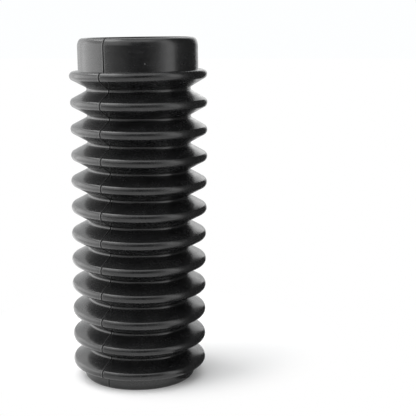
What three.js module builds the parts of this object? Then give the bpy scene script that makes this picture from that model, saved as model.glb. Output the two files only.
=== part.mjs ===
// Motorcycle fork gaiter: one rubber moulding, a thin bellows between a tall collar and a short cuff.
// Millimetres, +Z up. The origin is the middle of the lower cuff's end face, which stands on z = 0.
import * as THREE from "three";

// The bellows: rings whose round crests end in a crease on either side, with straight flanks and tight
// valleys between them
const RING_COUNT = 12;
const RING_PITCH = 14.7;
const RING_RADIUS = 38;
const VALLEY_RADIUS = 28.8;
const CREST_ROUND = 2.65;
const CREST_SPREAD = THREE.MathUtils.degToRad(47);
const VALLEY_ROUND = 0.9;
const BELLOWS_WALL = 1.8;

// The outer sides of the two end rings: a bead whose shoulder falls to the collar or the cuff
const END_ROUND = 2.5;
const SHOULDER_FALL = THREE.MathUtils.degToRad(15);

// The tall collar above the top ring, which grips the fork's upper part
const COLLAR_RADIUS = 33;
const COLLAR_HEIGHT = 18;
const COLLAR_BORE_RADIUS = 29;
const COLLAR_EDGE_WIDTH = 3;
const COLLAR_EDGE_HEIGHT = 8;

// The short cuff below the bottom ring, which grips the slider
const CUFF_RADIUS = 31.9;
const CUFF_HEIGHT = 7.3;
const CUFF_BORE_RADIUS = 27.3;
const CUFF_EDGE_ROUND = 3.5;

const BORE_EDGE_ROUND = 0.5;

// The two fine lines of flash left where the halves of the mould met
const FLASH_AZIMUTH = THREE.MathUtils.degToRad(-29);
const FLASH_HEIGHT = 0.3;
const FLASH_WIDTH = 0.9;

// How finely the round stretches are cut
const STEPS_PER_HALF_TURN = 16;
const CREST_STEPS = 4;
const END_CREST_STEPS = 2;
const SHOULDER_STEPS = 5;
const VALLEY_STEPS = 2;
const COLLAR_EDGE_STEPS = 4;
const CUFF_EDGE_STEPS = 4;
const BORE_EDGE_STEPS = 1;

const RIGHT_ANGLE = Math.PI / 2;

// Middles of the arcs that the folds and the end rings are drawn with
const CREST_MIDDLE = RING_RADIUS - CREST_ROUND;
const END_MIDDLE = RING_RADIUS - END_ROUND;
const VALLEY_MIDDLE = VALLEY_RADIUS + VALLEY_ROUND;

// Heights that follow from the sizes above
const BOTTOM_RING_Z = CUFF_HEIGHT + END_ROUND;
const TOP_RING_Z = BOTTOM_RING_Z + (RING_COUNT - 1) * RING_PITCH;
const TOP_Z = TOP_RING_Z + END_ROUND + COLLAR_HEIGHT;

/** Slope of a flank above the horizontal, from the crease of a crest to its tangent on a valley arc. */
function flankSlope() {
  const rise = RING_PITCH / 2 - CREST_ROUND * Math.sin(CREST_SPREAD);
  const reach = CREST_MIDDLE + CREST_ROUND * Math.cos(CREST_SPREAD) - VALLEY_MIDDLE;
  return Math.atan2(rise, reach) - Math.asin(VALLEY_ROUND / Math.hypot(rise, reach));
}

// Tilt from the horizontal of the direction in which a flank faces
const FLANK_FACING = RIGHT_ANGLE - flankSlope();

/** Points of an arc in the radius and height plane, from one angle to the other. */
function arc(middleRadius, middleZ, radius, from, to, steps, heightRadius = radius) {
  return Array.from({ length: steps + 1 }, (_, i) => {
    const angle = from + ((to - from) * i) / steps;
    return new THREE.Vector2(
      middleRadius + radius * Math.cos(angle),
      middleZ + heightRadius * Math.sin(angle),
    );
  });
}

/** Outside of a crest, going up. */
function crestOutside(z, lift) {
  return arc(CREST_MIDDLE, z, CREST_ROUND + lift, -CREST_SPREAD, CREST_SPREAD, CREST_STEPS);
}

/** Outside of a valley, going up: the arc's middle lies in the groove. */
function valleyOutside(z, lift) {
  const from = Math.PI + FLANK_FACING;
  const to = Math.PI - FLANK_FACING;
  return arc(VALLEY_MIDDLE, z, VALLEY_ROUND - lift, from, to, VALLEY_STEPS);
}

/** Inside of a crest: the sharp corner in which the two flanks' inner faces meet, one wall behind it. */
function crestInside(z) {
  return new THREE.Vector2(RING_RADIUS - BELLOWS_WALL, z);
}

/** Inside of a valley, going down, one wall behind the outside. */
function valleyInside(z) {
  const from = Math.PI - FLANK_FACING;
  const to = Math.PI + FLANK_FACING;
  return arc(VALLEY_MIDDLE, z, VALLEY_ROUND + BELLOWS_WALL, from, to, VALLEY_STEPS);
}

/** Height above an end ring's middle at which its falling shoulder meets a wall of this radius. */
function shoulderFoot(radius, lift) {
  const arcEnd = RIGHT_ANGLE + SHOULDER_FALL;
  const endRadius = END_MIDDLE + (END_ROUND + lift) * Math.cos(arcEnd);
  const endHeight = (END_ROUND + lift) * Math.sin(arcEnd);
  return endHeight - (endRadius - radius) * Math.tan(SHOULDER_FALL);
}

/** Outside of the cuff and of the bottom ring, going up. */
function cuffOutside(lift) {
  const radius = CUFF_RADIUS + lift;
  const edgeMiddle = CUFF_RADIUS - CUFF_EDGE_ROUND;
  const edge = arc(
    edgeMiddle, CUFF_EDGE_ROUND, CUFF_EDGE_ROUND + lift, -RIGHT_ANGLE, 0, CUFF_EDGE_STEPS, CUFF_EDGE_ROUND,
  );
  const foot = new THREE.Vector2(radius, BOTTOM_RING_Z - shoulderFoot(radius, lift));
  const lowest = -RIGHT_ANGLE - SHOULDER_FALL;
  const bead = arc(END_MIDDLE, BOTTOM_RING_Z, END_ROUND + lift, lowest, 0, SHOULDER_STEPS);
  const crest = arc(CREST_MIDDLE, BOTTOM_RING_Z, CREST_ROUND + lift, 0, CREST_SPREAD, END_CREST_STEPS);
  return [...edge, foot, ...bead, ...crest.slice(1)];
}

/** Outside of the top ring and of the collar, going up. */
function collarOutside(lift) {
  const radius = COLLAR_RADIUS + lift;
  const highest = RIGHT_ANGLE + SHOULDER_FALL;
  const crest = arc(CREST_MIDDLE, TOP_RING_Z, CREST_ROUND + lift, -CREST_SPREAD, 0, END_CREST_STEPS);
  const bead = arc(END_MIDDLE, TOP_RING_Z, END_ROUND + lift, 0, highest, SHOULDER_STEPS);
  const foot = new THREE.Vector2(radius, TOP_RING_Z + shoulderFoot(radius, lift));
  const edgeMiddle = COLLAR_RADIUS - COLLAR_EDGE_WIDTH;
  const edge = arc(
    edgeMiddle, TOP_Z - COLLAR_EDGE_HEIGHT, COLLAR_EDGE_WIDTH + lift, 0, RIGHT_ANGLE, COLLAR_EDGE_STEPS,
    COLLAR_EDGE_HEIGHT,
  );
  return [...crest, ...bead.slice(1), foot, ...edge];
}

/** A bore between two end corners, going down, each corner rounded into the material. */
function bore(radius, top, bottom) {
  const middle = radius + BORE_EDGE_ROUND;
  return [
    ...arc(middle, top - BORE_EDGE_ROUND, BORE_EDGE_ROUND, RIGHT_ANGLE, Math.PI, BORE_EDGE_STEPS),
    ...arc(middle, bottom + BORE_EDGE_ROUND, BORE_EDGE_ROUND, Math.PI, Math.PI + RIGHT_ANGLE, BORE_EDGE_STEPS),
  ];
}

/** Closed section of the wall, up the outside and down the inside, its outside raised by the lift. */
function section(lift) {
  const outline = cuffOutside(lift);
  for (let ring = 1; ring < RING_COUNT; ring += 1) {
    const z = BOTTOM_RING_Z + ring * RING_PITCH;
    outline.push(...valleyOutside(z - RING_PITCH / 2, lift));
    if (ring < RING_COUNT - 1) outline.push(...crestOutside(z, lift));
  }
  outline.push(...collarOutside(lift), ...bore(COLLAR_BORE_RADIUS, TOP_Z, TOP_RING_Z));
  for (let ring = RING_COUNT - 1; ring > 0; ring -= 1) {
    const z = BOTTOM_RING_Z + ring * RING_PITCH;
    outline.push(crestInside(z), ...valleyInside(z - RING_PITCH / 2));
  }
  outline.push(crestInside(BOTTOM_RING_Z), ...bore(CUFF_BORE_RADIUS, BOTTOM_RING_Z, 0));
  outline.push(outline[0].clone());
  return outline;
}

/** Azimuths round the part, from the front (-Y) towards +X, and which of them carry the flash's crest. */
function columns() {
  const side = Math.asin(FLASH_WIDTH / 2 / RING_RADIUS);
  const step = Math.PI / STEPS_PER_HALF_TURN;
  const round = [];
  for (const parting of [FLASH_AZIMUTH, FLASH_AZIMUTH + Math.PI]) {
    round.push({ azimuth: parting - side, flash: false });
    round.push({ azimuth: parting, flash: true });
    round.push({ azimuth: parting + side, flash: false });
    for (let i = 1; i < STEPS_PER_HALF_TURN; i += 1) {
      round.push({ azimuth: parting + i * step, flash: false });
    }
  }
  return round;
}

/** The whole moulding: the section turned about Z, with the raised section at each parting of the mould. */
function moulding() {
  const plain = section(0);
  const raised = section(FLASH_HEIGHT);
  const round = columns();
  const lathe = new THREE.LatheGeometry(plain, round.length);
  const position = lathe.getAttribute("position");
  for (let i = 0; i < position.count; i += 1) {
    const { azimuth, flash } = round[Math.floor(i / plain.length) % round.length];
    const point = (flash ? raised : plain)[i % plain.length];
    position.setXYZ(i, point.x * Math.sin(azimuth), point.y, point.x * Math.cos(azimuth));
  }
  lathe.rotateX(RIGHT_ANGLE);
  lathe.computeVertexNormals();
  return lathe;
}

const rubber = new THREE.MeshStandardMaterial({ color: 0x1b1c1d, roughness: 0.5, metalness: 0 });

const gaiter = new THREE.Mesh(moulding(), rubber);
gaiter.name = "gaiter";

const part = new THREE.Group();
part.add(gaiter);

export default part;
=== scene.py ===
"""A motorcycle fork gaiter, dressed and lit for its portrait.

One black rubber moulding: a bellows of twelve rings between a tall collar and a short cuff, with the
fine lines that the mould's two halves leave. Metres, +Z up, standing on z = 0 with its axis on the
origin. -Y is the front and +X the viewer's right.
"""

import logging
import math
from dataclasses import dataclass
from enum import Enum

import bmesh
import bpy
from mathutils import Euler, Matrix, Vector, noise


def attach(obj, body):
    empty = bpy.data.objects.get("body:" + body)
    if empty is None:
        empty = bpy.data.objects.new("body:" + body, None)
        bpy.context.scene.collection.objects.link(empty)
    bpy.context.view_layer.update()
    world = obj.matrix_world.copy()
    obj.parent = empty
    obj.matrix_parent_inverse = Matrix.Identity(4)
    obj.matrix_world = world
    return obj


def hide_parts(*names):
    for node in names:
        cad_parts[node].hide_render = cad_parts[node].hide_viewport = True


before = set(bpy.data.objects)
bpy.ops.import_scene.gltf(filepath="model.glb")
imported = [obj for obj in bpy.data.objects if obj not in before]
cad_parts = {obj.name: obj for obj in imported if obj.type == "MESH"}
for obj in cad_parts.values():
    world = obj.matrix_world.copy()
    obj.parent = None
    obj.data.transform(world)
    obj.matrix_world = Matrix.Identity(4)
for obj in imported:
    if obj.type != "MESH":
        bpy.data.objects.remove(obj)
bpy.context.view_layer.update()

LOG = logging.getLogger("gaiter")

# Names that the imported part gives to its one solid and its one body
SOLID_NODE = "gaiter"
BODY = "root"

RIGHT_ANGLE = math.pi / 2
MERGE_DISTANCE = 1e-6

# Edges of the studio's screens: distance from the axis and height
WALL_FOOT = (0.9, 0.002)
WALL_TOP = (0.9, 1.0)
LEFT_SEAM = (0.9, 0.55)
FRONT_SEAM = (0.9, 0.45)
BACK_FOOT = (0.9, 0.2)
BACK_TOP = (0.9, 0.5)
CEILING_RIM = (0.35, 1.15)

# Edges of the cards on the table, and of the blind beside the gaiter, which has an axis of its own
CARD_INNER = (0.045, 0.0006)
CARD_OUTER = (0.9, 0.0006)
BLIND_TOP = (0.032, 0.25)
BLIND_FOOT = (0.038, 0.002)
BLIND_SKIRT = (0.052, 0.0006)
BLIND_AXIS = 0.0775


def outward_at(azimuth: float) -> Vector:
    """The level unit vector away from the axis at an azimuth, which runs from the front towards +X."""
    return Vector((math.sin(azimuth), -math.cos(azimuth), 0.0))


def outward_from(place: Vector) -> Vector:
    """The level unit vector away from the axis at a place."""
    return Vector((place.x, place.y, 0.0)).normalized()


def smooth_step(share: float) -> float:
    """Eases a share from 0 to 1, with no slope at either end."""
    held = min(max(share, 0.0), 1.0)
    return held * held * (3 - 2 * held)


def add_to_scene(name: str, mesh: bmesh.types.BMesh, material: bpy.types.Material) -> bpy.types.Object:
    """Makes a finished shape an object of the scene.

    Args:
        name: Name of the object and of its mesh.
        mesh: The shape, which is used up.
        material: What the whole shape is made of.

    Returns:
        The object.
    """
    data = bpy.data.meshes.new(name)
    mesh.to_mesh(data)
    mesh.free()
    data.materials.append(material)
    made = bpy.data.objects.new(name, data)
    bpy.context.scene.collection.objects.link(made)
    return made


def number_math(
    tree: bpy.types.NodeTree,
    operation: str,
    first: bpy.types.NodeSocket,
    second: bpy.types.NodeSocket | float,
) -> bpy.types.NodeSocket:
    """Combines two numbers in a material.

    Args:
        tree: The material's nodes.
        operation: What is done with them.
        first: The first number.
        second: The second number, from a node or fixed.

    Returns:
        The result.
    """
    node = tree.nodes.new("ShaderNodeMath")
    node.operation = operation
    tree.links.new(first, node.inputs[0])
    if isinstance(second, float):
        node.inputs[1].default_value = second
    else:
        tree.links.new(second, node.inputs[1])
    return node.outputs["Value"]


def vector_math(
    tree: bpy.types.NodeTree,
    operation: str,
    place: bpy.types.NodeSocket,
    vector: tuple[float, float, float],
) -> bpy.types.Node:
    """Combines the coordinates with a fixed vector in a material.

    Args:
        tree: The material's nodes.
        operation: What is done with them.
        place: The coordinates.
        vector: The fixed vector.

    Returns:
        The node, whose result is a number or a vector.
    """
    node = tree.nodes.new("ShaderNodeVectorMath")
    node.operation = operation
    node.inputs[1].default_value = vector
    tree.links.new(place, node.inputs[0])
    return node


def mapped(
    tree: bpy.types.NodeTree,
    value: bpy.types.NodeSocket,
    reach: tuple[float, float],
    result: tuple[float, float] = (0.0, 1.0),
    easing: str = "LINEAR",
) -> bpy.types.NodeSocket:
    """Maps a stretch of a value onto a range in a material, and holds it at the range's ends.

    Args:
        tree: The material's nodes.
        value: The value.
        reach: Where the stretch begins and ends.
        result: The results there.
        easing: How the result runs from one to the other.

    Returns:
        The mapped value.
    """
    node = tree.nodes.new("ShaderNodeMapRange")
    node.interpolation_type = easing
    for name, number in zip(("From Min", "From Max", "To Min", "To Max"), (*reach, *result)):
        node.inputs[name].default_value = number
    tree.links.new(value, node.inputs["Value"])
    return node.outputs["Result"]


@dataclass(frozen=True)
class Corner:
    """One corner of the wall's section, where two straight runs would meet if it weren't rounded.

    Attributes:
        radius: Distance of the corner from the axis.
        height: Height of the corner.
        rounding: Radius of the arc that rounds it.
        arc_pieces: Number of edges along that arc.
        run_pieces: Number of edges along the straight run that leads to it.
    """

    radius: float
    height: float
    rounding: float
    arc_pieces: int
    run_pieces: int = 1

    @property
    def place(self) -> Vector:
        """The corner in the X-Z plane."""
        return Vector((self.radius, 0.0, self.height))


@dataclass
class SectionPen:
    """Draws a closed section in the X-Z plane, vertex by vertex, from its rounded corners.

    Attributes:
        mesh: The mesh that is drawn in.
        tip: The vertex that was drawn last.
    """

    mesh: bmesh.types.BMesh
    tip: bmesh.types.BMVert | None = None

    def draw(self, corners: list[Corner]) -> None:
        """Draws the section anticlockwise, as seen with X to the right and Z up.

        Args:
            corners: The corners in order. The last one leads back to the first.
        """
        start = (corners[-1].place + corners[0].place) / 2
        self.tip = bmesh.ops.create_vert(self.mesh, co=start)["vert"][0]
        for i, corner in enumerate(corners):
            before = corners[i - 1].place
            after = corners[(i + 1) % len(corners)].place
            self.turn(corner, (corner.place - before).normalized(), (after - corner.place).normalized())
        self.run(start, corners[0].run_pieces)

    def run(self, end: Vector, pieces: int) -> None:
        """Draws a straight run.

        Args:
            end: Where it ends.
            pieces: Number of edges along it.
        """
        step = (end - self.tip.co) / pieces
        if step.length < MERGE_DISTANCE:
            return
        for _ in range(pieces):
            self.tip = bmesh.ops.extrude_vert_indiv(self.mesh, verts=[self.tip])["verts"][0]
            bmesh.ops.translate(self.mesh, verts=[self.tip], vec=step)

    def turn(self, corner: Corner, heading: Vector, leaving: Vector) -> None:
        """Draws the run that leads to a corner, and the arc that rounds it.

        Args:
            corner: The corner.
            heading: Direction of the run that leads to it.
            leaving: Direction of the run that follows.
        """
        left = Vector((-heading.z, 0.0, heading.x))
        angle = math.atan2(leaving.dot(left), leaving.dot(heading))
        tangent = corner.rounding * math.tan(abs(angle) / 2)
        arc_start = corner.place - heading * tangent
        self.run(arc_start, corner.run_pieces)
        middle = arc_start + left * math.copysign(corner.rounding, angle)
        made = bmesh.ops.spin(
            self.mesh,
            geom=[self.tip],
            cent=middle,
            axis=(0.0, -1.0, 0.0),
            angle=angle,
            steps=corner.arc_pieces,
        )
        self.tip = next(item for item in made["geom_last"] if isinstance(item, bmesh.types.BMVert))


@dataclass(frozen=True)
class Bellows:
    """The twelve rings: round crests between two creases, straight flanks and tight valleys.

    Attributes:
        ring_count: Number of rings.
        pitch: Height from one ring to the next.
        ring_radius: Radius of the crests' tips.
        valley_radius: Radius of the valleys' floors.
        crest_round: Radius of a crest's arc.
        crest_spread: How far that arc turns to either side of its tip.
        crease_round: Rounding of the creases between the arc and the flanks.
        end_round: Radius of the end rings' beads.
        valley_round: Radius of a valley's arc.
        wall: Thickness of the wall.
        inner_crest_round: Rounding of the corner behind a crest.
        crest_pieces: Edges along a crest's arc, as the other numbers of pieces are along theirs.
    """

    ring_count: int = 12
    pitch: float = 0.0147
    ring_radius: float = 0.038
    valley_radius: float = 0.0288
    crest_round: float = 0.0028
    crest_spread: float = math.radians(47)
    crease_round: float = 0.0004
    end_round: float = 0.0025
    valley_round: float = 0.0013
    wall: float = 0.0018
    inner_crest_round: float = 0.0007
    crest_pieces: int = 10
    crease_pieces: int = 2
    end_crest_pieces: int = 6
    shoulder_pieces: int = 10
    valley_pieces: int = 6
    flank_pieces: int = 3
    inner_flank_pieces: int = 2
    inner_crest_pieces: int = 2

    @property
    def crest_middle(self) -> float:
        """Radius at which the crest arcs have their middles."""
        return self.ring_radius - self.crest_round

    @property
    def crease_radius(self) -> float:
        """Radius at which a crest's arc ends."""
        return self.crest_middle + self.crest_round * math.cos(self.crest_spread)

    @property
    def crease_rise(self) -> float:
        """Height from a ring's middle at which its crest's arc ends."""
        return self.crest_round * math.sin(self.crest_spread)

    @property
    def valley_middle(self) -> float:
        """Radius at which the valley arcs have their middles."""
        return self.valley_radius + self.valley_round

    @property
    def facing(self) -> float:
        """Works out how steeply the flanks face up or down.

        Returns:
            Tilt from the horizontal of the direction in which a flank faces.
        """
        rise = self.pitch / 2 - self.crease_rise
        reach = self.crease_radius - self.valley_middle
        slope = math.atan2(rise, reach) - math.asin(self.valley_round / math.hypot(rise, reach))
        return RIGHT_ANGLE - slope

    def crease(self, height: float, side: int) -> Corner:
        """Gives the corner in which a crest's arc meets a flank.

        Args:
            height: Height of the ring's middle.
            side: 1 for the crease above the crest, -1 for the one below it.

        Returns:
            The corner.
        """
        spare = self.crease_round * math.tan((self.facing - self.crest_spread) / 2)
        radius = self.crease_radius - spare * math.sin(self.crest_spread)
        rise = self.crease_rise + spare * math.cos(self.crest_spread)
        return Corner(
            radius, height + side * rise, self.crease_round, self.crease_pieces, self.flank_pieces
        )

    def crest(self, height: float) -> list[Corner]:
        """Gives the outer corners of a ring between two others.

        Args:
            height: Height of the ring's middle.

        Returns:
            The corners, going up: a crease, the round crest and a crease.
        """
        radius = self.crest_middle + self.crest_round / math.cos(self.crest_spread)
        crest = Corner(radius, height, self.crest_round, self.crest_pieces)
        return [self.crease(height, -1), crest, self.crease(height, 1)]

    def end_crest(self, height: float, shoulder_fall: float, side: int) -> list[Corner]:
        """Gives the outer corners of an end ring, whose outer side is a bead with a falling shoulder.

        Args:
            height: Height of the ring's middle.
            shoulder_fall: Slope of the shoulder.
            side: 1 where the shoulder is on top, -1 where it is underneath.

        Returns:
            The corners, going up.
        """
        crest_tangent = self.crest_round * math.tan(self.crest_spread / 2)
        shoulder_tangent = self.end_round * math.tan((RIGHT_ANGLE + shoulder_fall) / 2)
        crest = Corner(
            self.ring_radius, height - side * crest_tangent, self.crest_round, self.end_crest_pieces
        )
        shoulder = Corner(
            self.ring_radius, height + side * shoulder_tangent, self.end_round, self.shoulder_pieces
        )
        return [self.crease(height, -side), crest, shoulder][::side]

    def valley(self, height: float) -> Corner:
        """The outer corner of a valley."""
        radius = self.valley_middle - self.valley_round / math.cos(self.facing)
        return Corner(radius, height, self.valley_round, self.valley_pieces, self.flank_pieces)

    def inner_crest(self, height: float) -> Corner:
        """The corner behind a crest."""
        return Corner(
            self.ring_radius - self.wall, height, self.inner_crest_round, self.inner_crest_pieces,
            self.inner_flank_pieces,
        )

    def inner_valley(self, height: float) -> Corner:
        """Gives the corner behind a valley, one wall deeper.

        Args:
            height: Height of the valley.

        Returns:
            The corner.
        """
        rounding = self.valley_round + self.wall
        radius = self.valley_middle - rounding / math.cos(self.facing)
        return Corner(radius, height, rounding, self.valley_pieces, self.inner_flank_pieces)


@dataclass(frozen=True)
class Sleeve:
    """A plain end of the moulding: the tall collar or the short cuff, outside its end ring.

    Attributes:
        radius: Radius of its outside.
        bore_radius: Radius of its bore.
        length: Length, from the end ring's bead to the open end.
        edge_width: How far its outer edge curves in.
        edge_height: Length over which it does so.
        edge_turn: How far the edge has turned where its long round gives way to its short one.
        bore_round: Rounding of the bore's edges.
        foot_round: Rounding of the hollow corner beside the end ring.
        edge_pieces: Edges along each round, as the other numbers of pieces are along their parts.
    """

    radius: float
    bore_radius: float
    length: float
    edge_width: float
    edge_height: float
    edge_turn: float = math.radians(25)
    bore_round: float = 0.0005
    foot_round: float = 0.0005
    edge_pieces: int = 8
    bore_pieces: int = 3
    foot_pieces: int = 4
    wall_pieces: int = 4

    def foot_height(self, bellows: Bellows, fall: float) -> float:
        """Gives the height, from the end ring's middle, at which the shoulder meets the sleeve.

        Args:
            bellows: The rings.
            fall: Slope of the shoulder.

        Returns:
            The height, without its sign.
        """
        arc_radius = bellows.ring_radius - bellows.end_round * (1 + math.sin(fall))
        arc_height = bellows.end_round * math.cos(fall)
        return arc_height - (arc_radius - self.radius) * math.tan(fall)

    def foot(self, height: float) -> Corner:
        """The hollow corner in which the sleeve meets the end ring's shoulder."""
        return Corner(self.radius, height, self.foot_round, self.foot_pieces, self.wall_pieces)

    def edge(self, end: float, side: int) -> list[Corner]:
        """Gives the corners of the outer edge at the open end: a long round, then a short one.

        Args:
            end: Height of the open end.
            side: 1 where the open end is the top, -1 where it is the bottom.

        Returns:
            The corners, going up.
        """
        sine, cosine = math.sin(self.edge_turn), math.cos(self.edge_turn)
        share = sine + cosine - 1
        long_round = (self.edge_height * cosine - self.edge_width * (1 - sine)) / share
        short_round = (self.edge_width * sine - self.edge_height * (1 - cosine)) / share
        drop = self.edge_height - long_round * math.tan(self.edge_turn / 2)
        long_corner = Corner(
            self.radius, end - side * drop, long_round, self.edge_pieces, self.wall_pieces
        )
        inset = drop * math.tan(self.edge_turn)
        short_corner = Corner(self.radius - inset, end, short_round, self.edge_pieces)
        return [long_corner, short_corner][::side]

    def bore_edge(self, height: float) -> Corner:
        """An edge of the bore."""
        return Corner(self.bore_radius, height, self.bore_round, self.bore_pieces, self.wall_pieces)


@dataclass(frozen=True)
class MouldLine:
    """The two fine lines where the halves of the mould met, opposite each other: a low lip and a nick.

    Attributes:
        azimuth: Azimuth of the one at the front.
        height: Height of the lip, and depth of the nick.
        width: Reach of each, away from the parting plane.
        zone: Width of the zone that is cut finely for it.
        zone_pieces: Number of columns across that zone.
        fade_height: Height above the foot at which it stands in full.
        facing_gain: How soon it stands in full where the surface turns outwards.
        nick_spread: Spread of the nick's painted shade and dullness, as a share of the width.
        attribute: Name under which the mesh carries the mask of the nick's painted shade.
    """

    azimuth: float = math.radians(-29)
    height: float = 0.00018
    width: float = 0.00036
    zone: float = math.radians(4.0)
    zone_pieces: int = 24
    fade_height: float = 0.002
    facing_gain: float = 3.0
    nick_spread: float = 0.6
    attribute: str = "painted_nick_shade"

    def lip(self, offset: float) -> float:
        """Gives how far the surface stands out beside the parting plane, or lies in.

        Args:
            offset: Distance from the parting plane, towards +azimuth.

        Returns:
            The height, positive on the lip and negative in the nick.
        """
        share = offset / self.width
        peak = math.exp(-0.5) / math.sqrt(2)
        return -self.height * share * math.exp(-(share**2)) / peak

    def painted_nick_shade(self, offset: float) -> float:
        """Gives the nick's share of its full painted shade, which also sets how dull it is.

        Args:
            offset: Distance from the parting plane, towards +azimuth.

        Returns:
            1 in the nick, falling to 0 beside it.
        """
        return math.exp(-(((offset - self.width / 2) / (self.width * self.nick_spread)) ** 2))

    def offset(self, place: Vector) -> float:
        """Distance of a point from the plane in which the mould parts."""
        return place.dot(outward_at(self.azimuth + RIGHT_ANGLE))

    def standing(self, place: Vector, normal: Vector) -> float:
        """Gives how fully the line stands at a place. The inside and the very foot have none.

        Args:
            place: The place on the surface.
            normal: The way in which the surface faces there.

        Returns:
            1 where it stands in full, falling to 0 where there is none.
        """
        outward = outward_from(place).dot(normal)
        return smooth_step(outward * self.facing_gain) * smooth_step(place.z / self.fade_height)


@dataclass(frozen=True)
class StanceKey:
    """How the soft moulding stands at one height, against a true axis.

    Attributes:
        height: Height of the key.
        shift: How far the section there lies to the right.
        lift: How far it lies above its own height.
        roll: How far it slopes down to the left, in degrees.
        nod: How far it slopes down to the front, in degrees.
    """

    height: float
    shift: float
    lift: float = 0.0
    roll: float = 0.0
    nod: float = 0.0


@dataclass(frozen=True)
class Stance:
    """The slight lean and the tilted folds of a soft moulding that stands by itself."""

    keys: tuple[StanceKey, ...] = (
        StanceKey(0.000, 0.0001),
        StanceKey(0.010, 0.0002, lift=0.0001, roll=-0.4),
        StanceKey(0.031, 0.0003, roll=-1.2, nod=0.9),
        StanceKey(0.045, 0.0004, roll=-1.0, nod=0.3),
        StanceKey(0.054, 0.0005, lift=-0.0001, roll=-1.3),
        StanceKey(0.076, 0.0007, lift=-0.0001, roll=-0.7, nod=0.3),
        StanceKey(0.105, 0.0011, lift=0.0003, roll=-1.2, nod=0.2),
        StanceKey(0.135, 0.0015, roll=-0.8, nod=0.1),
        StanceKey(0.157, 0.0016, lift=0.0002, nod=0.1),
        StanceKey(0.172, 0.0014, lift=0.0006, roll=0.9, nod=-0.3),
        StanceKey(0.192, 0.0012, lift=0.0003, roll=0.8, nod=0.4),
    )

    def at(self, height: float) -> Matrix:
        """Gives the map that leans and tilts the section at a height.

        Args:
            height: Height above the floor.

        Returns:
            The map of a point there.
        """
        for low, high in zip(self.keys, self.keys[1:]):
            if height <= high.height:
                break
        share = smooth_step((height - low.height) / (high.height - low.height))
        map_here = Matrix.Identity(4)
        map_here[0][3] = low.shift + (high.shift - low.shift) * share
        map_here[2][3] = low.lift + (high.lift - low.lift) * share
        map_here[2][0] = math.tan(math.radians(low.roll + (high.roll - low.roll) * share))
        map_here[2][1] = math.tan(math.radians(low.nod + (high.nod - low.nod) * share))
        return map_here

    def apply(self, mesh: bmesh.types.BMesh) -> None:
        """Leans and tilts the mesh.

        Args:
            mesh: The upright moulding.
        """
        for vertex in mesh.verts:
            vertex.co = self.at(vertex.co.z) @ vertex.co


@dataclass(frozen=True)
class Pattern:
    """One noise pattern of the finish.

    Attributes:
        scale: Features per metre.
        detail: Number of finer layers.
        depth: Depth of the relief that it makes.
    """

    scale: float
    detail: float
    depth: float


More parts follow.
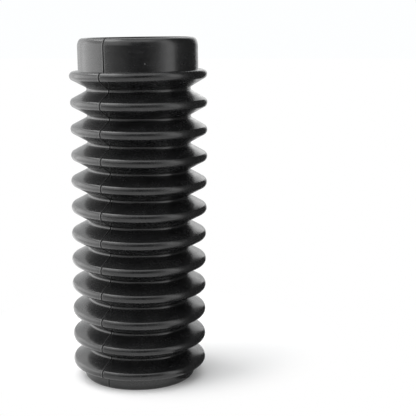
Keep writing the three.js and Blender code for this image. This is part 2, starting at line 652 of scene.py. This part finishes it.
@dataclass(frozen=True)
class RubberFinish:
    """Satin black rubber, as it comes off the mould: mottled, finely streaked round and lightly grained.

    Attributes:
        name: Name of the material.
        deep: Colour of the clean rubber.
        bloomed: Colour of the patches of bloom.
        painted_nick_shade: Painted shade in the mould line's nick, a darker colour that stands in for the
            shadow in the groove.
        dust: Colour of the speck of dust.
        dust_place: Middle of the speck.
        dust_radius: Radius of the speck.
        ior: Index of refraction, which sets the strength of the gloss.
        smooth_roughness: Roughness where the rubber is smoothest.
        dull_roughness: Roughness where it is dullest.
        nick_roughness: Roughness in the nick.
        bloom: Pattern of the bloom.
        mottle: Pattern of the mottling.
        streak: Pattern of the streaks, on the stretched coordinates.
        streak_stretch: Features of the streaks per metre, across and upwards.
        grain: Pattern of the grain.
        pattern_middle: The middle of a noise pattern's range, which is spread over the full range.
    """

    name: str = "moulded_rubber"
    deep: tuple[float, float, float] = (0.0060, 0.0061, 0.0064)
    bloomed: tuple[float, float, float] = (0.0120, 0.0122, 0.0127)
    # Painted shade: the nick is coloured darker to stand in for the shadow in its groove.
    painted_nick_shade: tuple[float, float, float] = (0.001, 0.001, 0.001)
    dust: tuple[float, float, float] = (0.20, 0.20, 0.20)
    dust_place: tuple[float, float, float] = (0.0072, -0.0325, 0.1790)
    dust_radius: float = 0.0005
    ior: float = 1.6
    smooth_roughness: float = 0.17
    dull_roughness: float = 0.32
    nick_roughness: float = 0.9
    bloom: Pattern = Pattern(scale=90.0, detail=4.0, depth=0.00012)
    mottle: Pattern = Pattern(scale=420.0, detail=3.0, depth=0.000015)
    streak: Pattern = Pattern(scale=1.0, detail=2.0, depth=0.000014)
    streak_stretch: tuple[float, float, float] = (26.0, 26.0, 900.0)
    grain: Pattern = Pattern(scale=2600.0, detail=2.0, depth=0.000005)
    pattern_middle: tuple[float, float] = (0.35, 0.65)

    def material(self, mould_line: MouldLine) -> bpy.types.Material:
        """Makes the material.

        Args:
            mould_line: The mould lines, whose attribute the mesh carries.

        Returns:
            The material.
        """
        made = bpy.data.materials.new(self.name)
        made.use_nodes = True
        tree = made.node_tree
        shader = tree.nodes["Principled BSDF"]
        shader.inputs["IOR"].default_value = self.ior
        place = tree.nodes.new("ShaderNodeTexCoord").outputs["Object"]
        stretched = vector_math(tree, "MULTIPLY", place, self.streak_stretch).outputs["Vector"]
        bloom = self.noise(tree, place, self.bloom)
        mottle = self.noise(tree, place, self.mottle)
        streak = self.noise(tree, stretched, self.streak)
        grain = self.noise(tree, place, self.grain)
        # Reads where the nick's shade is painted.
        painted_nick_shade = tree.nodes.new("ShaderNodeAttribute")
        painted_nick_shade.attribute_name = mould_line.attribute
        self.colour(tree, shader, bloom, place, painted_nick_shade.outputs["Fac"])
        self.roughness(tree, shader, (bloom, mottle, streak), painted_nick_shade.outputs["Fac"])
        layers = (
            (bloom, self.bloom.depth),
            (mottle, self.mottle.depth),
            (streak, self.streak.depth),
            (grain, self.grain.depth),
        )
        self.relief(tree, shader, layers)
        return made

    def noise(
        self, tree: bpy.types.NodeTree, place: bpy.types.NodeSocket, pattern: Pattern
    ) -> bpy.types.NodeSocket:
        """Adds a noise pattern.

        Args:
            tree: The material's nodes.
            place: The coordinates that it lies on.
            pattern: The pattern.

        Returns:
            The pattern's factor.
        """
        node = tree.nodes.new("ShaderNodeTexNoise")
        node.inputs["Scale"].default_value = pattern.scale
        node.inputs["Detail"].default_value = pattern.detail
        tree.links.new(place, node.inputs["Vector"])
        return node.outputs["Fac"]

    def colour(
        self,
        tree: bpy.types.NodeTree,
        shader: bpy.types.Node,
        bloom: bpy.types.NodeSocket,
        place: bpy.types.NodeSocket,
        painted_nick_shade: bpy.types.NodeSocket,
    ) -> None:
        """Colours the rubber: deep black, a grey bloom in patches, a speck of dust and painted shade in the
        nick.

        Args:
            tree: The material's nodes.
            shader: The surface shader.
            bloom: Pattern of the bloom.
            place: The piece's own coordinates.
            painted_nick_shade: Where the mould line's nick has its painted shade.
        """
        distance = vector_math(tree, "DISTANCE", place, self.dust_place).outputs["Value"]
        layers = (
            (mapped(tree, bloom, self.pattern_middle), self.bloomed),
            (mapped(tree, distance, (self.dust_radius, 0.0)), self.dust),
            # Painted shade in the nick, in place of the groove's shadow.
            (painted_nick_shade, self.painted_nick_shade),
        )
        colour = None
        for factor, layer in layers:
            node = tree.nodes.new("ShaderNodeMix")
            node.data_type = "RGBA"
            node.inputs["A"].default_value = (*self.deep, 1.0)
            node.inputs["B"].default_value = (*layer, 1.0)
            tree.links.new(factor, node.inputs["Factor"])
            if colour is not None:
                tree.links.new(colour, node.inputs["A"])
            colour = node.outputs["Result"]
        tree.links.new(colour, shader.inputs["Base Color"])

    def roughness(
        self,
        tree: bpy.types.NodeTree,
        shader: bpy.types.Node,
        patterns: tuple[bpy.types.NodeSocket, ...],
        painted_nick_shade: bpy.types.NodeSocket,
    ) -> None:
        """Varies the gloss between smooth and dull patches, and leaves the mould line's nick dull.

        Args:
            tree: The material's nodes.
            shader: The surface shader.
            patterns: Patterns that share the range between them.
            painted_nick_shade: Where the mould line's nick has its painted shade, which is also left dull.
        """
        share = (self.dull_roughness - self.smooth_roughness) / len(patterns)
        total = self.smooth_roughness
        for pattern in patterns:
            part = mapped(tree, pattern, self.pattern_middle, (0.0, share))
            total = number_math(tree, "ADD", part, total)
        mix = tree.nodes.new("ShaderNodeMix")
        mix.inputs["B"].default_value = self.nick_roughness
        tree.links.new(painted_nick_shade, mix.inputs["Factor"])
        tree.links.new(total, mix.inputs["A"])
        tree.links.new(mix.outputs["Result"], shader.inputs["Roughness"])

    def relief(
        self,
        tree: bpy.types.NodeTree,
        shader: bpy.types.Node,
        layers: tuple[tuple[bpy.types.NodeSocket, float], ...],
    ) -> None:
        """Roughens the surface with shallow layers of relief.

        Args:
            tree: The material's nodes.
            shader: The surface shader.
            layers: Pattern and depth of each layer.
        """
        normal = None
        for pattern, depth in layers:
            bump = tree.nodes.new("ShaderNodeBump")
            bump.inputs["Distance"].default_value = depth
            tree.links.new(pattern, bump.inputs["Height"])
            if normal is not None:
                tree.links.new(normal, bump.inputs["Normal"])
            normal = bump.outputs["Normal"]
        tree.links.new(normal, shader.inputs["Normal"])


@dataclass(frozen=True)
class GaiterMoulding:
    """The whole gaiter, one hollow moulding.

    Attributes:
        name: Name of the piece.
        bellows: The rings.
        collar: The tall upper end.
        cuff: The short lower end.
        mould_line: The two mould lines.
        stance: How the moulding leans.
        finish: What it is made of.
        shoulder_fall: Slope of the end rings' shoulders.
        half_turn_pieces: Number of columns from one mould line's zone to the next.
        unevenness: Most that the wall's waviness moves it.
        unevenness_scale: Waves of it per metre.
    """

    name: str = "rubber_gaiter"
    bellows: Bellows = Bellows()
    collar: Sleeve = Sleeve(
        radius=0.0331, bore_radius=0.0290, length=0.0180, edge_width=0.0030, edge_height=0.0046
    )
    cuff: Sleeve = Sleeve(
        radius=0.0319, bore_radius=0.0273, length=0.0073, edge_width=0.0023, edge_height=0.0033
    )
    mould_line: MouldLine = MouldLine()
    stance: Stance = Stance()
    finish: RubberFinish = RubberFinish()
    shoulder_fall: float = math.radians(15)
    half_turn_pieces: int = 66
    unevenness: float = 0.00016
    unevenness_scale: float = 40.0

    @property
    def ring_heights(self) -> list[float]:
        """Heights of the rings' middles, going up."""
        lowest = self.cuff.length + self.bellows.end_round
        return [lowest + i * self.bellows.pitch for i in range(self.bellows.ring_count)]

    @property
    def top(self) -> float:
        """Height of the collar's rim."""
        return self.ring_heights[-1] + self.bellows.end_round + self.collar.length

    def outside(self) -> list[Corner]:
        """Gives the corners of the section's outside, going up.

        Returns:
            The corners, from the cuff's open end to the collar's.
        """
        bottom, *between, top = self.ring_heights
        half_pitch = self.bellows.pitch / 2
        cuff_foot = bottom - self.cuff.foot_height(self.bellows, self.shoulder_fall)
        collar_foot = top + self.collar.foot_height(self.bellows, self.shoulder_fall)
        corners = self.cuff.edge(0.0, -1) + [self.cuff.foot(cuff_foot)]
        corners += self.bellows.end_crest(bottom, self.shoulder_fall, -1)
        for height in between:
            corners += [self.bellows.valley(height - half_pitch)] + self.bellows.crest(height)
        corners.append(self.bellows.valley(top - half_pitch))
        corners += self.bellows.end_crest(top, self.shoulder_fall, 1)
        corners += [self.collar.foot(collar_foot)] + self.collar.edge(self.top, 1)
        return corners

    def inside(self) -> list[Corner]:
        """Gives the corners of the section's inside, going down.

        Returns:
            The corners, from the collar's open end to the cuff's.
        """
        heights = self.ring_heights
        corners = [self.collar.bore_edge(self.top), self.collar.bore_edge(heights[-1])]
        for height in reversed(heights[1:]):
            corners.append(self.bellows.inner_crest(height))
            corners.append(self.bellows.inner_valley(height - self.bellows.pitch / 2))
        corners.append(self.bellows.inner_crest(heights[0]))
        corners += [self.cuff.bore_edge(heights[0]), self.cuff.bore_edge(0.0)]
        return corners

    def turned(self) -> bmesh.types.BMesh:
        """Turns the section about the axis, with finer steps across the two mould lines.

        Returns:
            The closed mesh.
        """
        mesh = bmesh.new()
        SectionPen(mesh).draw(self.outside() + self.inside())
        bmesh.ops.remove_doubles(mesh, verts=mesh.verts, dist=MERGE_DISTANCE)
        first = self.mould_line.azimuth - RIGHT_ANGLE - self.mould_line.zone / 2
        bmesh.ops.rotate(mesh, verts=mesh.verts, matrix=Matrix.Rotation(first, 3, "Z"))
        front = mesh.verts[:] + mesh.edges[:]
        sectors = (
            (self.mould_line.zone, self.mould_line.zone_pieces),
            (math.pi - self.mould_line.zone, self.half_turn_pieces),
        )
        for angle, pieces in sectors * 2:
            made = bmesh.ops.spin(
                mesh, geom=front, cent=(0.0, 0.0, 0.0), axis=(0.0, 0.0, 1.0), angle=angle, steps=pieces
            )
            front = made["geom_last"]
        bmesh.ops.remove_doubles(mesh, verts=mesh.verts, dist=MERGE_DISTANCE)
        bmesh.ops.recalc_face_normals(mesh, faces=mesh.faces)
        return mesh

    def mark_mould_line(self, mesh: bmesh.types.BMesh) -> None:
        """Shapes the mould lines on the outside, and marks where their nicks get painted shade and dullness
        from the finish.

        Args:
            mesh: The turned moulding.
        """
        layer = mesh.verts.layers.float.new(self.mould_line.attribute)
        mesh.normal_update()
        moves = []
        for vertex in mesh.verts:
            standing = self.mould_line.standing(vertex.co, vertex.normal)
            offset = self.mould_line.offset(vertex.co)
            # The mask of the nick's painted shade, which the finish also makes dull.
            vertex[layer] = self.mould_line.painted_nick_shade(offset) * standing
            moves.append(vertex.normal * self.mould_line.lip(offset) * standing)
        for vertex, move in zip(mesh.verts, moves):
            vertex.co += move

    def soften(self, mesh: bmesh.types.BMesh) -> None:
        """Gives the wall the slight waviness of rubber.

        Args:
            mesh: The moulding.
        """
        for vertex in mesh.verts:
            wave = noise.noise(vertex.co * self.unevenness_scale)
            standing = smooth_step(vertex.co.z / self.cuff.length)
            vertex.co += outward_from(vertex.co) * wave * self.unevenness * standing

    def build(self) -> None:
        """Builds the gaiter and puts it in the part's place."""
        mesh = self.turned()
        self.mark_mould_line(mesh)
        self.soften(mesh)
        self.stance.apply(mesh)
        piece = add_to_scene(self.name, mesh, self.finish.material(self.mould_line))
        piece.data.shade_smooth()
        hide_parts(SOLID_NODE)
        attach(piece, BODY)
        LOG.info("%s: %d faces", self.name, len(piece.data.polygons))


class Glow(Enum):
    """How bright a studio screen is, where 1 is the white of the surroundings."""

    SHADE = 0.08
    DARK = 0.25
    GREY = 0.5
    PALE = 0.85
    LIT = 1.65
    STRONG = 1.9
    BRIGHT = 3.05
    OVERHEAD = 4.15


@dataclass(frozen=True)
class Screen:
    """A curved screen round an upright axis, standing or lying flat, which shines unseen by the camera.

    Attributes:
        name: Name of the screen.
        first: How bright it is at its start.
        last: How bright it is at its end.
        start: Azimuth at which it begins, in degrees.
        end: Azimuth at which it ends, in degrees.
        low: Distance from its axis and height of its lower edge, or of its inner edge if it lies flat.
        high: Distance from its axis and height of the other edge.
        axis_place: How far to the right of the gaiter's axis its own axis stands.
        pieces: Number of faces from its start to its end.
        attribute: Name under which its mesh carries the brightness.
    """

    name: str
    first: Glow
    last: Glow
    start: float
    end: float
    low: tuple[float, float] = WALL_FOOT
    high: tuple[float, float] = WALL_TOP
    axis_place: float = 0.0
    pieces: int = 16
    attribute: str = "glow"

    def build(self, mirrored_only: bool = False) -> None:
        """Builds the screen as part of the stage.

        Args:
            mirrored_only: Whether it shows in reflections alone, and neither lights nor shades.
        """
        mesh = bmesh.new()
        layer = mesh.verts.layers.float.new(self.attribute)
        columns = []
        for step in range(self.pieces + 1):
            share = step / self.pieces
            glow = self.first.value + (self.last.value - self.first.value) * share
            outward = outward_at(math.radians(self.start + (self.end - self.start) * share))
            column = []
            for distance, height in (self.low, self.high):
                place = outward * distance + Vector((0.0, 0.0, height))
                vertex = bmesh.ops.create_vert(mesh, co=place)["vert"][0]
                vertex[layer] = glow
                column.append(vertex)
            columns.append(column)
        for (low, high), (next_low, next_high) in zip(columns, columns[1:]):
            bmesh.ops.contextual_create(mesh, geom=[low, next_low, next_high, high])
        bmesh.ops.translate(mesh, verts=mesh.verts, vec=(self.axis_place, 0.0, 0.0))
        screen = add_to_scene(self.name, mesh, self.material())
        screen.visible_camera = False
        screen.visible_diffuse = not mirrored_only
        screen.visible_shadow = not mirrored_only

    def material(self) -> bpy.types.Material:
        """Makes the screen's light.

        Returns:
            The material.
        """
        made = bpy.data.materials.new(self.name)
        made.use_nodes = True
        tree = made.node_tree
        light = tree.nodes.new("ShaderNodeEmission")
        glow = tree.nodes.new("ShaderNodeAttribute")
        glow.attribute_name = self.attribute
        tree.links.new(glow.outputs["Fac"], light.inputs["Strength"])
        tree.links.new(light.outputs["Emission"], tree.nodes["Material Output"].inputs["Surface"])
        return made


@dataclass(frozen=True)
class Floor:
    """The white table top, which runs out into the white of the surroundings.

    Attributes:
        name: Name of the floor.
        half_size: Half the length of its sides.
        albedo: Share of the light that it gives back.
        fade_middle: Middle of the lit part.
        near: Distance from there at which the lit part begins to fade.
        far: Distance beyond which it is plain white.
    """

    name: str = "floor"
    half_size: float = 6.0
    albedo: float = 0.95
    fade_middle: tuple[float, float, float] = (0.002, 0.060, 0.0)
    near: float = 0.0736
    far: float = 0.1204

    def build(self) -> None:
        """Builds the floor as part of the stage."""
        mesh = bmesh.new()
        bmesh.ops.create_grid(mesh, x_segments=1, y_segments=1, size=self.half_size)
        add_to_scene(self.name, mesh, self.material())

    def material(self) -> bpy.types.Material:
        """Makes the table top: matt near the gaiter, where its shadow falls, and plain white beyond.

        Returns:
            The material.
        """
        made = bpy.data.materials.new(self.name)
        made.use_nodes = True
        tree = made.node_tree
        paper = tree.nodes["Principled BSDF"]
        paper.inputs["Base Color"].default_value = (self.albedo, self.albedo, self.albedo, 1.0)
        paper.inputs["Roughness"].default_value = 1.0
        paper.inputs["Specular IOR Level"].default_value = 0.0
        white = tree.nodes.new("ShaderNodeEmission")
        mix = tree.nodes.new("ShaderNodeMixShader")
        tree.links.new(self.plain_white(tree), mix.inputs["Fac"])
        tree.links.new(paper.outputs["BSDF"], mix.inputs[1])
        tree.links.new(white.outputs["Emission"], mix.inputs[2])
        tree.links.new(mix.outputs["Shader"], tree.nodes["Material Output"].inputs["Surface"])
        return made

    def plain_white(self, tree: bpy.types.NodeTree) -> bpy.types.NodeSocket:
        """Works out where, and for which rays, the table top is plain white.

        Args:
            tree: The material's nodes.

        Returns:
            1 where it is plain white and 0 where it is lit paper.
        """
        place = tree.nodes.new("ShaderNodeTexCoord").outputs["Object"]
        distance = vector_math(tree, "DISTANCE", place, self.fade_middle).outputs["Value"]
        fade = mapped(tree, distance, (self.near, self.far), easing="SMOOTHSTEP")
        path = tree.nodes.new("ShaderNodeLightPath")
        seen = path.outputs["Is Camera Ray"]
        for kind in ("Is Glossy Ray", "Is Transmission Ray"):
            seen = number_math(tree, "MAXIMUM", seen, path.outputs[kind])
        return number_math(tree, "MULTIPLY", fade, seen)


@dataclass(frozen=True)
class Studio:
    """White surroundings, bright screens on the left and overhead, and dark ones in front and beside.

    Attributes:
        floor: The table top.
        screens: Screens that light and shade the gaiter.
        cards: Screens that show in its gloss alone.
        world_white: Colour of the surroundings.
        world_strength: Brightness of the surroundings.
    """

    floor: Floor = Floor()
    screens: tuple[Screen, ...] = (
        Screen("left_back_screen", Glow.LIT, Glow.LIT, -145.0, -125.0),
        Screen("left_screen", Glow.BRIGHT, Glow.BRIGHT, -125.0, -65.0, high=LEFT_SEAM),
        Screen("left_upper_screen", Glow.LIT, Glow.LIT, -125.0, -65.0, low=LEFT_SEAM),
        Screen("front_left_screen", Glow.PALE, Glow.GREY, -65.0, -35.0, high=FRONT_SEAM),
        Screen("front_left_upper_screen", Glow.LIT, Glow.LIT, -65.0, -30.0, low=FRONT_SEAM),
        Screen("front_left_fade", Glow.GREY, Glow.SHADE, -35.0, -10.0, high=FRONT_SEAM),
        Screen("front_screen", Glow.SHADE, Glow.SHADE, -10.0, 15.0),
        Screen("front_right_screen", Glow.SHADE, Glow.GREY, 15.0, 45.0),
        Screen("right_strip", Glow.LIT, Glow.LIT, 55.0, 75.0),
        Screen("right_screen", Glow.GREY, Glow.DARK, 75.0, 140.0),
        Screen("right_back_screen", Glow.LIT, Glow.STRONG, 158.0, 180.0, BACK_FOOT, BACK_TOP),
        Screen("front_overhead", Glow.LIT, Glow.LIT, -45.0, 45.0, WALL_TOP, CEILING_RIM),
        Screen("left_overhead", Glow.OVERHEAD, Glow.OVERHEAD, -135.0, -45.0, WALL_TOP, CEILING_RIM),
    )
    cards: tuple[Screen, ...] = (
        Screen("left_card", Glow.STRONG, Glow.STRONG, -150.0, -70.0, CARD_INNER, CARD_OUTER),
        Screen("front_left_card", Glow.STRONG, Glow.PALE, -70.0, -35.0, CARD_INNER, CARD_OUTER),
        Screen("near_front_screen", Glow.DARK, Glow.SHADE, -20.0, -65.0, BLIND_FOOT, BLIND_TOP, BLIND_AXIS),
        Screen("near_screen", Glow.SHADE, Glow.SHADE, -65.0, -380.0, BLIND_FOOT, BLIND_TOP, BLIND_AXIS),
        Screen("near_skirt", Glow.SHADE, Glow.SHADE, 0.0, 360.0, BLIND_SKIRT, BLIND_FOOT, BLIND_AXIS),
    )
    world_white: tuple[float, float, float] = (0.985, 0.995, 1.0)
    world_strength: float = 1.0

    def build(self) -> None:
        """Builds the stage and the lights."""
        self.floor.build()
        for screen in self.screens:
            screen.build()
        for card in self.cards:
            card.build(mirrored_only=True)
        world = bpy.data.worlds.new("surroundings")
        world.use_nodes = True
        sky = world.node_tree.nodes["Background"]
        sky.inputs["Color"].default_value = (*self.world_white, 1.0)
        sky.inputs["Strength"].default_value = self.world_strength
        bpy.context.scene.world = world
        LOG.info("studio: %d screens and %d cards", len(self.screens), len(self.cards))


@dataclass(frozen=True)
class ViewCamera:
    """The camera, a little above the gaiter's rim and to its right, looking slightly down.

    Attributes:
        name: Name of the camera.
        place: Where it stands.
        pitch_down: How far it looks down.
        lens: Focal length in millimetres.
        sensor: Width of the sensor in millimetres.
        nearest: Distance up to which it sees nothing.
    """

    name: str = "view_camera"
    place: tuple[float, float, float] = (0.03986, -0.52897, 0.19668)
    pitch_down: float = math.radians(10.66)
    lens: float = 82.2
    sensor: float = 36.0
    nearest: float = 0.01

    def build(self) -> None:
        """Builds the camera and makes it the scene's."""
        data = bpy.data.cameras.new(self.name)
        data.lens = self.lens
        data.sensor_width = self.sensor
        data.clip_start = self.nearest
        camera = bpy.data.objects.new(self.name, data)
        camera.location = self.place
        camera.rotation_euler = Euler((RIGHT_ANGLE - self.pitch_down, 0.0, 0.0))
        bpy.context.scene.collection.objects.link(camera)
        bpy.context.scene.camera = camera


def main() -> None:
    """Builds the gaiter, its surroundings and the camera."""
    logging.basicConfig(level=logging.INFO, format="%(name)s %(message)s")
    bpy.context.scene.view_settings.view_transform = "Standard"
    GaiterMoulding().build()
    Studio().build()
    ViewCamera().build()


if __name__ == "__main__":
    main()
